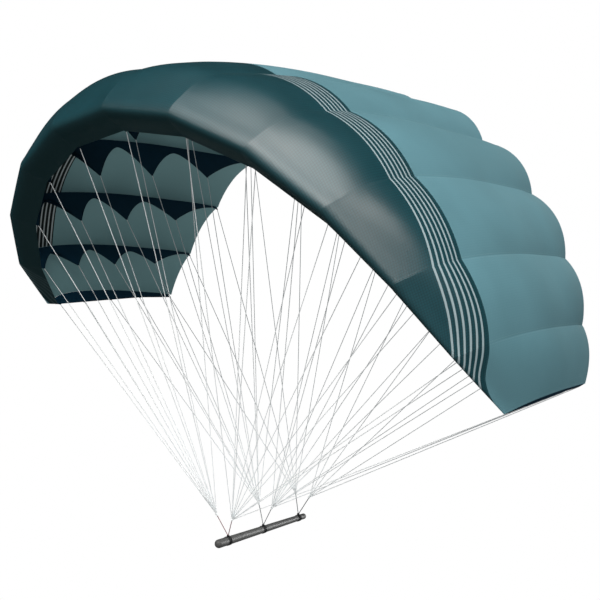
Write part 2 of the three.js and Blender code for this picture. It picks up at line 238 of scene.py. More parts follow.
class SkinGrid:
    """A grid of points over all the cells between two lines along the span, with what a pattern needs."""

    def __init__(self, start, end, rows, columns):
        self.columns = columns
        count = CELLS * columns + 1
        self.base = np.zeros((rows + 1, count, 3))
        self.out = np.zeros((rows + 1, count, 3))
        self.place = np.zeros((rows + 1, count))
        self.from_seam = np.zeros((rows + 1, count))
        for column in range(count):
            cell = min(column // columns, CELLS - 1)
            across = column / columns - cell
            for row in range(rows + 1):
                place = lerp(start(cell, across), end(cell, across), row / rows)
                point, out, width = skin_point(cell, place, across)
                self.base[row, column] = point
                self.out[row, column] = out
                self.place[row, column] = place
                self.from_seam[row, column] = min(across, 1 - across) * width
        steps = np.linalg.norm(np.diff(self.base, axis=0), axis=2)
        self.chord = np.vstack([np.zeros(count), np.cumsum(steps, axis=0)])
        self.to_front = self.chord[-1] - self.chord
        sideways = np.linalg.norm(np.diff(self.base[rows // 2], axis=0), axis=1)
        span = np.concatenate([[0], np.cumsum(sideways)])
        self.span = np.tile(span - span[-1] / 2, (rows + 1, 1))

    def seam_from_middle(self, rib_index):
        """Distance along the span from the middle of the wing to a rib's seam."""
        return abs(float(self.span[0, rib_index * self.columns]))


def closed_sheet(name, inner, outer, fields):
    """Closed sheet between two like grids of points, with the values of the fields on the points of both."""
    rows, count = inner.shape[:2]
    layer = rows * count
    index = np.arange(layer).reshape(rows, count)
    a, b, c, d = index[:-1, :-1], index[1:, :-1], index[1:, 1:], index[:-1, 1:]
    rim = np.concatenate([index[0, :-1], index[:-1, -1], index[-1, :0:-1], index[:0:-1, 0]])
    ahead = np.roll(rim, -1)
    quads = np.concatenate([
        np.stack([a, b, c, d], -1).reshape(-1, 4),
        np.stack([d, c, b, a], -1).reshape(-1, 4) + layer,
        np.stack([rim, ahead, ahead + layer, rim + layer], -1),
    ])
    points = np.concatenate([inner.reshape(-1, 3), outer.reshape(-1, 3)])
    mesh = bpy.data.meshes.new(name)
    mesh.from_pydata(points.tolist(), [], quads.tolist())
    for field, values in fields.items():
        attribute = mesh.attributes.new(field, "FLOAT", "POINT")
        attribute.data.foreach_set("value", np.tile(values.reshape(-1), 2).astype(np.float32))
    piece = bpy.data.objects.new(name, mesh)
    bpy.context.scene.collection.objects.link(piece)
    return piece


def skin_object(name, grid, inner, outer):
    """Closed smooth sheet of the skin with sharp rims and a crease along each seam."""
    fields = {"span": grid.span, "chord": grid.chord, "to_front": grid.to_front,
              "from_seam": grid.from_seam, "place": grid.place}
    piece = closed_sheet(name, inner, outer, fields)
    mesh = piece.data
    mesh.polygons.foreach_set("use_smooth", [True] * len(mesh.polygons))
    rows, count = grid.place.shape
    layer = rows * count
    side = mesh.attributes.new("outside", "FLOAT", "POINT")
    side.data.foreach_set("value", np.repeat([0.0, 1.0], layer).astype(np.float32))
    off_rim = np.arange(layer).reshape(rows, count)[1:-1, 1:-1]
    rim_points = set(range(layer)) - set(off_rim.reshape(-1).tolist())
    for edge in mesh.edges:
        first, second = (vertex % layer for vertex in edge.vertices)
        same_layer = edge.vertices[0] // layer == edge.vertices[1] // layer
        on_rim = first in rim_points and second in rim_points
        on_seam = first % count == second % count and first % count % grid.columns == 0
        edge.use_edge_sharp = same_layer and (on_rim or on_seam)
    return piece


def puckers(grid):
    """Height of the small folds that run out from the seams."""
    near = np.exp(-grid.from_seam / PUCKER_FADE) * smooth_step(grid.from_seam / PUCKER_START)
    drift = np.sin(grid.span * PUCKER_DRIFT_RATE) * PUCKER_DRIFT
    wave = 0.5 + 0.5 * np.sin(grid.chord * 2 * pi / PUCKER_PITCH + drift)
    return PUCKER * near * wave


canopy_grid = SkinGrid(lambda cell, across: 0.0, band_place, CANOPY_ROWS, CELL_COLUMNS)
canopy_calm = smooth_step(canopy_grid.place / PUCKER_CALM_PLACE) * PUCKER_CALM
canopy_lift = puckers(canopy_grid) * (1 - canopy_calm)
canopy_hem = HEM_EXTRA * (1 - smooth_step((canopy_grid.chord - HEM_WIDTH) / HEM_STEP))
canopy_inner = canopy_grid.base + canopy_grid.out * canopy_lift[..., None]
canopy_outer = canopy_inner + canopy_grid.out * (CLOTH + canopy_hem)[..., None]
canopy = skin_object("canopy", canopy_grid, canopy_inner, canopy_outer)


class Level:
    """A number that changes over a surface. Arithmetic on it adds the nodes that work it out."""

    def __init__(self, finish, socket):
        self.finish = finish
        self.socket = socket

    def math(self, operation, *terms):
        return self.finish.node("ShaderNodeMath", {"operation": operation}, terms)

    def __add__(self, other):
        return self.math("ADD", self, other)

    def __sub__(self, other):
        return self.math("SUBTRACT", self, other)

    def __rsub__(self, other):
        return self.math("SUBTRACT", other, self)

    def __mul__(self, other):
        return self.math("MULTIPLY", self, other)

    def __truediv__(self, other):
        return self.math("DIVIDE", self, other)

    def __mod__(self, other):
        return self.math("FLOORED_MODULO", self, other)

    def __abs__(self):
        return self.math("ABSOLUTE", self)

    def most(self, other):
        return self.math("MAXIMUM", self, other)

    def between(self, low, high):
        """0 below low, 1 above high and a smooth step between them."""
        settings = {"interpolation_type": "SMOOTHSTEP"}
        inputs = {"Value": self, "From Min": low, "From Max": high}
        return self.finish.node("ShaderNodeMapRange", settings, inputs)

    __radd__ = __add__
    __rmul__ = __mul__


class Finish:
    """A material in the making, with one shader whose sockets take numbers, colours or levels."""

    def __init__(self, name):
        self.material = bpy.data.materials.new(name)
        self.material.use_nodes = True
        self.tree = self.material.node_tree
        self.shader = self.tree.nodes["Principled BSDF"]

    def node(self, kind, settings, inputs, output=0):
        made = self.tree.nodes.new(kind)
        for setting, value in settings.items():
            setattr(made, setting, value)
        for key, value in inputs.items() if isinstance(inputs, dict) else enumerate(inputs):
            self.feed(made.inputs[key], value)
        return Level(self, made.outputs[output])

    def feed(self, socket, value):
        if isinstance(value, Level):
            self.tree.links.new(value.socket, socket)
        else:
            socket.default_value = value

    def attribute(self, name):
        return self.node("ShaderNodeAttribute", {"attribute_name": name}, (), "Fac")

    def place(self):
        return self.node("ShaderNodeTexCoord", {}, (), "Object")

    def noise(self, scale, detail):
        inputs = {"Vector": self.place(), "Scale": scale, "Detail": detail}
        return self.node("ShaderNodeTexNoise", {}, inputs, "Fac")

    def blend(self, share, first, second):
        return self.node("ShaderNodeMix", {"data_type": "RGBA"}, {0: share, 6: first, 7: second}, 2)

    def relief(self, height, distance, strength):
        inputs = {"Height": height, "Distance": distance, "Strength": strength}
        return self.node("ShaderNodeBump", {}, inputs)

    def surface(self, **sockets):
        for name, value in sockets.items():
            self.feed(self.shader.inputs[name.replace("_", " ")], value)
        return self.material


def tint(red, green, blue):
    """A colour as it shows on a screen, turned into the light that it stands for."""
    shares = (value / 255 for value in (red, green, blue))
    return tuple(s / 12.92 if s <= 0.04045 else ((s + 0.055) / 1.055) ** 2.4 for s in shares) + (1.0,)


# The weave, its thick threads and the sewn rows of all the cloth
RIPSTOP_PITCH = 0.0075
RIPSTOP_THREAD = 0.14
STITCH_FROM_SEAM = 0.0045
STITCH_LENGTH = 0.006
STITCH_EDGE = (0.0003, 0.0009)
STITCH_GAP = (0.25, 0.35)
PATCH_EDGE = (0.35, 0.7)
OUTER_SIDE = (0.4, 0.6)
WEAVE_SCALE = 900.0
WEAVE_DETAIL = 1.0
WEAVE_HEIGHT = 0.25
THREAD_HEIGHT = 0.6
STITCH_HEIGHT = 0.8
CLOTH_RELIEF = 0.00025
CLOTH_RELIEF_STRENGTH = 0.5


def ripstop(cloth):
    """1 on the thick threads of the woven grid."""
    lines = []
    for field in ("span", "chord"):
        share = cloth.attribute(field) / RIPSTOP_PITCH % 1.0
        lines.append(abs(share - 0.5).between(0.5 - RIPSTOP_THREAD, 0.5))
    return lines[0].most(lines[1])


def stitches(cloth, distance, along):
    """1 on the dashes of a sewn row at a distance from a seam or edge."""
    row = 1 - abs(distance - STITCH_FROM_SEAM).between(*STITCH_EDGE)
    dash = (cloth.attribute(along) / STITCH_LENGTH % 1.0).between(*STITCH_GAP)
    return row * dash


def woven(cloth, patches, threads, first, second, thread, thread_share):
    """Two shades of a cloth in soft patches, with its thick threads in a third."""
    ground = cloth.blend(patches.between(*PATCH_EDGE), first, second)
    return cloth.blend(threads * thread_share, ground, thread)


def cloth_relief(cloth, threads, sewn, other):
    """Fine relief of the thick threads, the sewn rows and one height more."""
    height = threads * THREAD_HEIGHT + other + sewn * STITCH_HEIGHT
    return cloth.relief(height, CLOTH_RELIEF, CLOTH_RELIEF_STRENGTH)


# The pinstripes, which inside the canopy fill a dark band at its front edge between two ribs on each side
STRIPE_PITCH = 0.019
STRIPE_WIDTH = 0.0065
STRIPE_SOFTNESS = 0.04
PRINT_EDGE = 0.002
INNER_BAND = 0.045
INNER_BAND_GROWTH = 0.12
INNER_BAND_FROM = 0.75
INNER_BAND_RIBS = (3, 1)
INNER_BAND_EDGE = 0.02
INNER_STRIPE_SHARE = 0.75

CANOPY_TEAL = tint(88, 132, 143)
CANOPY_TEAL_LIGHT = tint(94, 140, 152)
# Painted light: the inside of the canopy is painted lighter than the outside of the same cloth, to brighten
# the shade inside the arch
CANOPY_BACK_PAINTED_LIGHT = tint(123, 165, 169)
CANOPY_THREAD = tint(66, 108, 118)
CANOPY_THREAD_SHARE = 0.16
CANOPY_STITCH_SHARE = 0.2
CANOPY_PATCH_SCALE = 3.2
CANOPY_PATCH_DETAIL = 4.0
CANOPY_ROUGHNESS = 0.58
CANOPY_ROUGHNESS_GAIN = 0.12
CANOPY_SHINE = 0.35
STITCH_GREY = tint(150, 178, 182)
INNER_STRIPE_GREY = tint(206, 220, 222)
# Near black: the ground of the printed band inside the canopy, and painted shade on the inside of the leading
# edge
PRINT_GROUND_AND_PAINTED_SHADE = tint(16, 32, 33)


def stripes(within):
    """1 on the stripes of a row that has one stripe in the middle of each whole step."""
    half = STRIPE_WIDTH / STRIPE_PITCH / 2
    return 1 - abs(within % 1.0 - 0.5).between(half - STRIPE_SOFTNESS, half + STRIPE_SOFTNESS)


def canopy_finish():
    cloth = Finish("canopy_cloth")
    threads = ripstop(cloth)
    patches = cloth.noise(CANOPY_PATCH_SCALE, CANOPY_PATCH_DETAIL)
    outer = woven(cloth, patches, threads, CANOPY_TEAL, CANOPY_TEAL_LIGHT, CANOPY_THREAD, CANOPY_THREAD_SHARE)
    from_middle = abs(cloth.attribute("span"))
    band = INNER_BAND + (from_middle - INNER_BAND_FROM) * INNER_BAND_GROWTH
    within = (band - cloth.attribute("to_front")) / STRIPE_PITCH
    first, last = (canopy_grid.seam_from_middle(rib_index) for rib_index in INNER_BAND_RIBS)
    printed = within.between(0.0, INNER_BAND_EDGE) * from_middle.between(first, first + PRINT_EDGE)
    printed = printed * (1 - from_middle.between(last - PRINT_EDGE, last))
    # The printed band's own dark ground
    inner = cloth.blend(stripes(within) * INNER_STRIPE_SHARE, PRINT_GROUND_AND_PAINTED_SHADE, INNER_STRIPE_GREY)
    # Painted light: the lighter inside colour everywhere outside the printed band
    inner = cloth.blend(printed, CANOPY_BACK_PAINTED_LIGHT, inner)
    colour = cloth.blend(cloth.attribute("outside").between(*OUTER_SIDE), inner, outer)
    seam = stitches(cloth, cloth.attribute("from_seam"), "chord")
    edge = stitches(cloth, cloth.attribute("chord") - HEM_WIDTH / 2, "span")
    sewn = seam.most(edge)
    colour = cloth.blend(sewn * CANOPY_STITCH_SHARE, colour, STITCH_GREY)
    weave = cloth.noise(WEAVE_SCALE, WEAVE_DETAIL) * WEAVE_HEIGHT
    return cloth.surface(
        Base_Color=colour, Roughness=CANOPY_ROUGHNESS + patches * CANOPY_ROUGHNESS_GAIN,
        Normal=cloth_relief(cloth, threads, sewn, weave), Specular_IOR_Level=CANOPY_SHINE)


canopy.data.materials.append(canopy_finish())
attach(canopy, "root")
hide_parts(*[f"canopy_cell_{number:02d}" for number in range(1, CELLS + 1)])

# Leading edge
# Dark teal ripstop cloth, sewn from one panel for each cell, that goes on from the canopy around the nose and
# ends in a hemmed lower lip. The cloth is painted darker towards that lip as painted shade, and its inside is
# painted near black as painted shade. Plain pale pinstripes are printed along its back seam, on all cells but
# the middle one.

LEADING_EDGE_ROWS = 56
LIP_WIDTH = 0.012
# Places along the section where the painted shade towards the lower lip sets in and where it is whole
LIP_PAINTED_SHADE_PLACES = (0.83, 0.94)
EDGE_PUCKER_SHARE = 0.3
EDGE_PUCKER_START = 0.05
EDGE_PUCKER_END = 0.06
STRIPES = 6
STRIPE_START = 0.012
STRIPE_BAND_EDGE = 0.01
STRIPE_SHARE_INSIDE = 0.45
STRIPE_GAIN_OUTSIDE = 0.5
# Share of the pinstripes taken away where the lower lip is painted dark as shade
STRIPE_LOSS_IN_LIP_SHADE = 0.9

edge_grid = SkinGrid(band_place, lambda cell, across: 1.0, LEADING_EDGE_ROWS, CELL_COLUMNS)
edge_lift = puckers(edge_grid) * EDGE_PUCKER_SHARE * smooth_step(edge_grid.chord / EDGE_PUCKER_START)
edge_lift = edge_lift * smooth_step((1 - edge_grid.place) / EDGE_PUCKER_END)
edge_hem = HEM_EXTRA * (1 - smooth_step((edge_grid.to_front - LIP_WIDTH) / HEM_STEP))
edge_inner = edge_grid.base + edge_grid.out * edge_lift[..., None]
edge_outer = edge_inner + edge_grid.out * (CLOTH + edge_hem)[..., None]
leading_edge = skin_object("leading_edge", edge_grid, edge_inner, edge_outer)

EDGE_TEAL = tint(15, 73, 83)
EDGE_TEAL_DEEP = tint(13, 65, 74)
# Painted shade: near-black green for the lower side of the nose, which faces down into shade
EDGE_LIP_PAINTED_SHADE = tint(15, 48, 52)
EDGE_THREAD = tint(8, 34, 40)
EDGE_THREAD_SHARE = 0.9
EDGE_STITCH_SHARE = 0.05
EDGE_PATCH_SCALE = 4.0
EDGE_PATCH_DETAIL = 4.0
EDGE_ROUGHNESS = 0.38
EDGE_ROUGHNESS_GAIN = 0.08
EDGE_SHINE = 0.9
STRIPE_GREY = tint(159, 179, 185)


def leading_edge_finish():
    cloth = Finish("leading_edge_cloth")
    threads = ripstop(cloth)
    patches = cloth.noise(EDGE_PATCH_SCALE, EDGE_PATCH_DETAIL)
    outer = woven(cloth, patches, threads, EDGE_TEAL_DEEP, EDGE_TEAL, EDGE_THREAD, EDGE_THREAD_SHARE)
    # Painted shade: the cloth turns darker towards the lower lip, which faces down away from the lamps, and
    # the pinstripes fade there too
    lip_painted_shade = cloth.attribute("place").between(*LIP_PAINTED_SHADE_PLACES)
    outer = cloth.blend(lip_painted_shade, outer, EDGE_LIP_PAINTED_SHADE)
    chord = cloth.attribute("chord")
    within = (chord - STRIPE_START) / STRIPE_PITCH
    printed = stripes(within) * within.between(0.0, STRIPE_BAND_EDGE)
    printed = printed * (1 - within.between(STRIPES - STRIPE_BAND_EDGE, STRIPES))
    middle_seam = edge_grid.seam_from_middle(CELLS // 2)
    printed = printed * abs(cloth.attribute("span")).between(middle_seam, middle_seam + PRINT_EDGE)
    outside = cloth.attribute("outside").between(*OUTER_SIDE)
    ink = printed * (STRIPE_SHARE_INSIDE + outside * STRIPE_GAIN_OUTSIDE)
    ink = ink * (1 - lip_painted_shade * STRIPE_LOSS_IN_LIP_SHADE)
    # Painted shade: the inside of the leading edge is painted near black, as it lies in shade
    colour = cloth.blend(outside, PRINT_GROUND_AND_PAINTED_SHADE, outer)
    colour = cloth.blend(ink, colour, STRIPE_GREY)
    seam = stitches(cloth, cloth.attribute("from_seam"), "chord")
    sewn = seam.most(stitches(cloth, chord, "span"))
    colour = cloth.blend(sewn * EDGE_STITCH_SHARE, colour, STITCH_GREY)
    weave = cloth.noise(WEAVE_SCALE, WEAVE_DETAIL) * WEAVE_HEIGHT
    return cloth.surface(
        Base_Color=colour, Roughness=EDGE_ROUGHNESS + patches * EDGE_ROUGHNESS_GAIN,
        Normal=cloth_relief(cloth, threads, sewn, weave), Specular_IOR_Level=EDGE_SHINE)


leading_edge.data.materials.append(leading_edge_finish())
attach(leading_edge, "root")
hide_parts(*[f"leading_edge_{number:02d}" for number in range(1, CELLS + 1)])

# Ribs
# Flat webs of navy cloth sewn under the seams. Their lower edge is cut into scallops with a narrow hem,
# and each point between two scallops ends in a short tab that takes a line. The two tip ribs are narrow webs
# with a straight lower edge.

WEB = 0.0008
WEB_GAP = 0.0004
WEB_HEM = 0.006
WEB_HEM_STEP = 0.0005
WEB_ROWS = 8
WEB_START_REACH = 0.004
WEB_AT_CROWN = 0.030
WEB_AT_TAIL = 0.010
TAB_HALF_WIDTH = 0.005
TAB_LENGTH = 0.003
TAB_TAPER = 0.7
TAIL_TAB_REACH = 0.016
TAIL_TAB_DEPTH = 0.012
SCALLOP_CROWN = 0.6
SCALLOP_FRONT_CURVE = 1.5
SCALLOP_FRONT_STEPS = 20
SCALLOP_REAR_CURVE = 1.8
SCALLOP_REAR_STEPS = 14
TAIL_CURVE = 1.5
TAIL_STEPS = 24
TIP_STEPS = 16
FRONT_FAN_START = 0.72

# Rows of line points behind the nose's row A: name, share of the chin's reach, depth at the middle of the
# span, and what the depth loses towards the tips with the square and the fourth power of u
INNER_ROWS = (
    ("b", 0.78, 0.098, 0.045, 0.053),
    ("c", 0.555, 0.089, 0.037, 0.043),
    ("d", 0.298, 0.084, 0.008, 0.068),
)


def line_points(rib):
    """Reach and depth of the web's points that take a line, by row."""
    points = {"a": (rib.chin_reach - 2 * TAB_HALF_WIDTH, rib.chin_depth)}
    for row, share, depth, loss, tip_cut in INNER_ROWS:
        inner_depth = depth - loss * rib.u ** 2 - tip_cut * rib.u ** 4
        points[row] = (share * rib.chin_reach, rib.chin_depth * share if rib.is_tip else inner_depth)
    points["tail"] = (TAIL_TAB_REACH, TAIL_TAB_DEPTH)
    return points


def upper_depth(rib, reach):
    return rib.section(rib.place_at(reach))[1]


def scallop(rib, front, rear):
    """One scallop from a point back to the next, with its crown nearer the rear point."""
    crown_reach = lerp(front[0], rear[0], SCALLOP_CROWN)
    crown_depth = upper_depth(rib, crown_reach) + WEB_AT_CROWN
    edge = []
    for step in range(1, SCALLOP_FRONT_STEPS + 1):
        share = step / SCALLOP_FRONT_STEPS
        fall = (1 - share) ** SCALLOP_FRONT_CURVE
        edge.append((lerp(front[0], crown_reach, share), lerp(crown_depth, front[1], fall)))
    for step in range(1, SCALLOP_REAR_STEPS):
        share = step / SCALLOP_REAR_STEPS
        fall = share ** SCALLOP_REAR_CURVE
        edge.append((lerp(crown_reach, rear[0], share), lerp(crown_depth, rear[1], fall)))
    return edge


def tab(reach, depth):
    narrow = TAB_HALF_WIDTH * TAB_TAPER
    return [(reach + TAB_HALF_WIDTH, depth), (reach + narrow, depth + TAB_LENGTH),
            (reach - narrow, depth + TAB_LENGTH), (reach - TAB_HALF_WIDTH, depth)]


def tail_edge(rib, start):
    """The long shallow curve from the last row's point back to the trailing edge."""
    end = TAIL_TAB_REACH + TAB_HALF_WIDTH
    web_at_start = start[1] - upper_depth(rib, start[0])
    edge = []
    for step in range(1, TAIL_STEPS):
        share = step / TAIL_STEPS
        reach = lerp(start[0], end, share)
        web = lerp(WEB_AT_TAIL, web_at_start, (1 - share) ** TAIL_CURVE)
        edge.append((reach, upper_depth(rib, reach) + web))
    return edge


def straight_edge(front, rear):
    return [(lerp(front[0], rear[0], step / TIP_STEPS), lerp(front[1], rear[1], step / TIP_STEPS))
            for step in range(1, TIP_STEPS)]


def lower_edge(rib):
    """The web's lower edge from the nose back to the trailing edge."""
    points = [rib.points[row] for row in ("a", "b", "c", "d")]
    edge = tab(*points[0])
    for front, rear in zip(points, points[1:]):
        start = (front[0] - TAB_HALF_WIDTH, front[1])
        end = (rear[0] + TAB_HALF_WIDTH, rear[1])
        edge += straight_edge(start, end) if rib.is_tip else scallop(rib, start, end)
        edge += tab(*rear)
    start = (points[-1][0] - TAB_HALF_WIDTH, points[-1][1])
    tail = rib.points["tail"]
    end = (tail[0] + TAB_HALF_WIDTH, tail[1])
    edge += straight_edge(start, end) if rib.is_tip else tail_edge(rib, start)
    return edge + tab(*tail)


def web_place(rib, reach):
    """Place on the section for a point of the lower edge: straight above it, or fanned around the nose."""
    start = FRONT_FAN_START * rib.chin_reach
    front = rib.points["a"][0] + TAB_HALF_WIDTH
    if reach <= start:
        return rib.place_at(max(reach, WEB_START_REACH))
    return lerp(rib.place_at(start), 1.0, (reach - start) / (front - start))


def web_grid(rib):
    """Grid of the web's points from the section down to the lower edge, as reach and depth."""
    edge = lower_edge(rib)
    grid = np.zeros((WEB_ROWS + 1, len(edge), 2))
    for column, point in enumerate(edge):
        place = web_place(rib, point[0])
        way = rib.section_way(place)
        top = rib.section(place) - WEB_GAP * np.array((way[1], -way[0]))
        for row in range(WEB_ROWS + 1):
            grid[row, column] = lerp(top, np.array(point), row / WEB_ROWS)
    return grid


def web_object(rib, grid):
    middle = rib.origin + grid[..., :1] * rib.forward + grid[..., 1:] * rib.inward
    offset = rib.across * WEB / 2
    from_edge = np.linalg.norm(grid - grid[-1:], axis=2)
    fields = {"span": grid[..., 1], "chord": grid[..., 0], "from_edge": from_edge}
    return closed_sheet(f"rib_web_{rib.number:02d}", middle + offset, middle - offset, fields)


RIB_NAVY = tint(3, 52, 76)
RIB_NAVY_LIGHT = tint(6, 58, 82)
RIB_THREAD = tint(2, 30, 50)
RIB_THREAD_SHARE = 0.3
RIB_HEM_SHARE = 0.4
RIB_HEM_HEIGHT = 1.2
RIB_STITCH = tint(60, 84, 96)
RIB_STITCH_SHARE = 0.4
RIB_PATCH_SCALE = 5.0
RIB_PATCH_DETAIL = 3.0
RIB_ROUGHNESS = 0.62
RIB_ROUGHNESS_GAIN = 0.1
RIB_SHINE = 0.25


def rib_finish():
    cloth = Finish("rib_cloth")
    threads = ripstop(cloth)
    patches = cloth.noise(RIB_PATCH_SCALE, RIB_PATCH_DETAIL)
    colour = woven(cloth, patches, threads, RIB_NAVY, RIB_NAVY_LIGHT, RIB_THREAD, RIB_THREAD_SHARE)
    from_edge = cloth.attribute("from_edge")
    hem = 1 - from_edge.between(WEB_HEM - WEB_HEM_STEP, WEB_HEM)
    colour = cloth.blend(hem * RIB_HEM_SHARE, colour, RIB_THREAD)
    sewn = stitches(cloth, from_edge, "chord")
    colour = cloth.blend(sewn * RIB_STITCH_SHARE, colour, RIB_STITCH)
    return cloth.surface(
        Base_Color=colour, Roughness=RIB_ROUGHNESS + patches * RIB_ROUGHNESS_GAIN,
        Normal=cloth_relief(cloth, threads, sewn, hem * RIB_HEM_HEIGHT), Specular_IOR_Level=RIB_SHINE)


rib_cloth = rib_finish()
for rib in ribs:
    rib.points = line_points(rib)
    flat_web = web_grid(rib)
    web = web_object(rib, flat_web)
    web.data.materials.append(rib_cloth)
    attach(web, "root")
    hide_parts(f"rib_{rib.number:02d}")

# Bar
# A slim round handle that tapers a little to the back, a smooth dark grey tube with a domed plug in each end.
# Three lashed wraps sit on it, one behind the front end, one in the middle and one before the back end.

BAR_LENGTH = 0.475
BAR_FRONT_RADIUS = 0.0145
BAR_REAR_RADIUS = 0.010
BAR_SIDES = 64
BAR_DOME_SHARE = 0.92
BAR_DOME_STEPS = 8
BAR_SMOOTH_ANGLE = radians(35)
BAR_ENDS = ((-BAR_LENGTH / 2, BAR_FRONT_RADIUS), (BAR_LENGTH / 2, BAR_REAR_RADIUS))
NEAR_END = 1e-5


def bar_radius(y):
    return lerp(BAR_FRONT_RADIUS, BAR_REAR_RADIUS, y / BAR_LENGTH + 0.5)


bpy.ops.object.select_all(action="DESELECT")
bpy.ops.mesh.primitive_cylinder_add(
    vertices=BAR_SIDES, radius=1.0, depth=BAR_LENGTH, rotation=(pi / 2, 0, 0), end_fill_type="NGON")
bar = bpy.context.active_object
bpy.ops.object.transform_apply(location=True, rotation=True, scale=True)
bar.name = "bar_handle"
for end_y, end_radius in BAR_ENDS:
    bpy.ops.object.mode_set(mode="EDIT")
    bpy.ops.mesh.select_all(action="DESELECT")
    bpy.ops.object.mode_set(mode="OBJECT")
    for vertex in bar.data.vertices:
        vertex.select = abs(vertex.co.y - end_y) < NEAR_END
    bpy.ops.object.mode_set(mode="EDIT")
    bpy.ops.transform.resize(value=(end_radius, 1, end_radius), center_override=(0, end_y, 0))
    bpy.ops.object.mode_set(mode="OBJECT")
for end_y, end_radius in BAR_ENDS:
    bpy.ops.object.mode_set(mode="EDIT")
    bpy.ops.mesh.select_all(action="DESELECT")
    bpy.ops.mesh.select_mode(type="EDGE")
    bpy.ops.object.mode_set(mode="OBJECT")
    for edge in bar.data.edges:
        edge.select = all(abs(bar.data.vertices[v].co.y - end_y) < NEAR_END for v in edge.vertices)
    bpy.ops.object.mode_set(mode="EDIT")
    bpy.ops.mesh.bevel(offset=end_radius * BAR_DOME_SHARE, segments=BAR_DOME_STEPS, affect="EDGES")
    bpy.ops.object.mode_set(mode="OBJECT")
bpy.ops.object.shade_smooth_by_angle(angle=BAR_SMOOTH_ANGLE)

BAR_GREY = tint(76, 77, 77)
BAR_GREY_DEEP = tint(70, 71, 71)
BAR_PATCH_SCALE = 22.0
BAR_PATCH_DETAIL = 3.0
BAR_PATCH_EDGE = (0.3, 0.7)
BAR_ROUGHNESS = 0.5
BAR_ROUGHNESS_GAIN = 0.05
BAR_SHINE = 0.5
PLUG_GREY = tint(70, 71, 71)
PLUG_LENGTH = 0.016
PLUG_EDGE = 0.0006
GROOVE_EDGE = (0.0002, 0.0007)
GROOVE_DEPTH = 0.0006
GROOVE_STRENGTH = 0.3


def bar_finish():
    tube = Finish("bar_tube")
    from_middle = abs(tube.node("ShaderNodeSeparateXYZ", {}, (tube.place(),), "Y"))
    patches = tube.noise(BAR_PATCH_SCALE, BAR_PATCH_DETAIL)
    colour = tube.blend(patches.between(*BAR_PATCH_EDGE), BAR_GREY_DEEP, BAR_GREY)
    plug_start = BAR_LENGTH / 2 - PLUG_LENGTH
    plug = from_middle.between(plug_start, plug_start + PLUG_EDGE)
    colour = tube.blend(plug, colour, PLUG_GREY)
    beside_groove = abs(from_middle - plug_start).between(*GROOVE_EDGE)
    return tube.surface(
        Base_Color=colour, Specular_IOR_Level=BAR_SHINE,
        Roughness=BAR_ROUGHNESS + patches * BAR_ROUGHNESS_GAIN + plug * BAR_ROUGHNESS_GAIN,
        Normal=tube.relief(beside_groove, GROOVE_DEPTH, GROOVE_STRENGTH))


bar.data.materials.append(bar_finish())
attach(bar, "root")
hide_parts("bar")

# Wraps
# Each station's leaders are lashed to the bar with tight turns of black cord, finished in a knot on top
# from which the two leaders rise.

# Station's name, place of its wrap along the bar, place of its right knot, rows of lines that meet there
STATIONS = (
    ("front", -0.180, (0.034, -0.208, 0.088), ("a", "b")),
    ("centre", 0.002, (0.029, 0.004, 0.085), ("c", "d")),
    ("rear", 0.197, (0.031, 0.211, 0.082), ("tail",)),
)
WRAP_CORD = 0.0018
WRAP_TURNS = 7
WRAP_WIDTH = 0.013
WRAP_THICKNESS = 0.0011
WRAP_SEAT_SHARE = 0.36
WRAP_TURN_ROTATION = (pi / 2 + 0.02, 0.0, 0.05)
WRAP_TURN_MESH = (48, 10)
KNOB = 0.0046
KNOB_SINK_SHARE = 0.5
KNOB_CORD_SHARE = 0.75
KNOB_CORE_SHARE = 0.8
KNOB_TILT = 0.7
KNOB_TWIST = 0.4
KNOB_TURN_MESH = (28, 10)
KNOB_CORE_MESH = (20, 12)
KNOT_SMOOTH_ANGLE = radians(40)


def cord_turn(place, rotation, turn_radius, cord_radius, steps_and_sides):
    """One closed turn of cord around a place."""
    steps, sides = steps_and_sides
    bpy.ops.object.select_all(action="DESELECT")
    bpy.ops.mesh.primitive_torus_add(
        location=place, rotation=rotation, major_radius=turn_radius, minor_radius=cord_radius,
        major_segments=steps, minor_segments=sides)
    return bpy.context.active_object


def cord_core(place, radius, steps_and_rings):
    """The ball of cord inside a knot."""
    steps, rings = steps_and_rings
    bpy.ops.object.select_all(action="DESELECT")
    bpy.ops.mesh.primitive_uv_sphere_add(segments=steps, ring_count=rings, radius=radius, location=place)
    return bpy.context.active_object


def joined(parts, name):
    """Join the parts into one piece that sits at the origin, with smooth sides."""
    bpy.ops.object.select_all(action="DESELECT")
    for part in parts:
        part.select_set(True)
    bpy.context.view_layer.objects.active = parts[0]
    bpy.ops.object.transform_apply(location=True, rotation=True, scale=True)
    bpy.ops.object.join()
    piece = bpy.context.view_layer.objects.active
    piece.name = name
    bpy.ops.object.shade_smooth_by_angle(angle=KNOT_SMOOTH_ANGLE)
    return piece


def knob_height(y):
    """Height of the middle of the knot on top of a wrap."""
    return bar_radius(y) + WRAP_THICKNESS + KNOB * KNOB_SINK_SHARE


